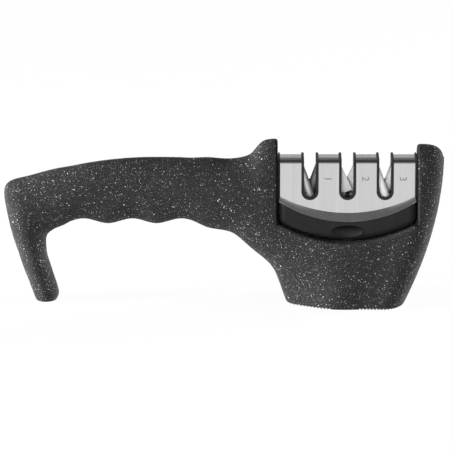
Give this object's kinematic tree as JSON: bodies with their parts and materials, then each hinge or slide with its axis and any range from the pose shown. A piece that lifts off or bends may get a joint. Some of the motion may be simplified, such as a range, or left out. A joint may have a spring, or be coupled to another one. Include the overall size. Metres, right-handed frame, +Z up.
{
  "type": "knife sharpener",
  "caption": "Hand-held knife sharpener: arched grip with a hand guard, and a lift-out head with diamond, steel and ceramic slots.",
  "frame": {"origin": "middle of the footprint, on the table", "axes": "+X from the hand guard to the sharpening head, -Y faces the user, +Z up"},
  "size_m": [0.21, 0.0462, 0.0784],
  "materials": {
    "speckled_plastic": "fine matt texture with white and grey flecks",
    "black_plastic": "satin black",
    "grip_rubber": "matt, finely ribbed",
    "cover_steel": "fine vertical brushing",
    "blade_steel": "ground",
    "diamond_grit": "dark diamond coating on steel",
    "white_ceramic": "smooth white ceramic",
    "screw_steel": "plated"
  },
  "bodies": {
    "handle": {"handle_shell_front": "speckled_plastic", "handle_shell_rear": "speckled_plastic", "base_plate": "black_plastic", "base_grip_pad": "grip_rubber", "base_screws": "screw_steel"},
    "sharpening_module": {"module_base": "black_plastic", "steel_cover": "cover_steel", "carrier_front": "black_plastic", "carrier_rear": "black_plastic", "diamond_rod_front": "diamond_grit", "diamond_rod_rear": "diamond_grit", "steel_blade_front": "blade_steel", "steel_blade_rear": "blade_steel", "ceramic_rod_front": "white_ceramic", "ceramic_rod_rear": "white_ceramic", "carrier_screws": "screw_steel", "module_base_screws": "screw_steel", "button_spring_front": "screw_steel", "button_spring_rear": "screw_steel"},
    "button_front": {"release_button_front": "black_plastic"},
    "button_rear": {"release_button_rear": "black_plastic"}
  },
  "joints": [
    {"name": "module_lift", "type": "slide", "parent": "handle", "child": "sharpening_module", "axis": [0, 0, 1], "range_m": [0, 0.06]},
    {"name": "press_front", "type": "slide", "parent": "sharpening_module", "child": "button_front", "axis": [0, 1, 0], "range_m": [0, 0.0016], "stiffness_N_per_m": 400, "springref_m": -0.001, "deforming": ["button_spring_front"]},
    {"name": "press_rear", "type": "slide", "parent": "sharpening_module", "child": "button_rear", "axis": [0, -1, 0], "range_m": [0, 0.0016], "stiffness_N_per_m": 400, "springref_m": -0.001, "deforming": ["button_spring_rear"]}
  ]
}
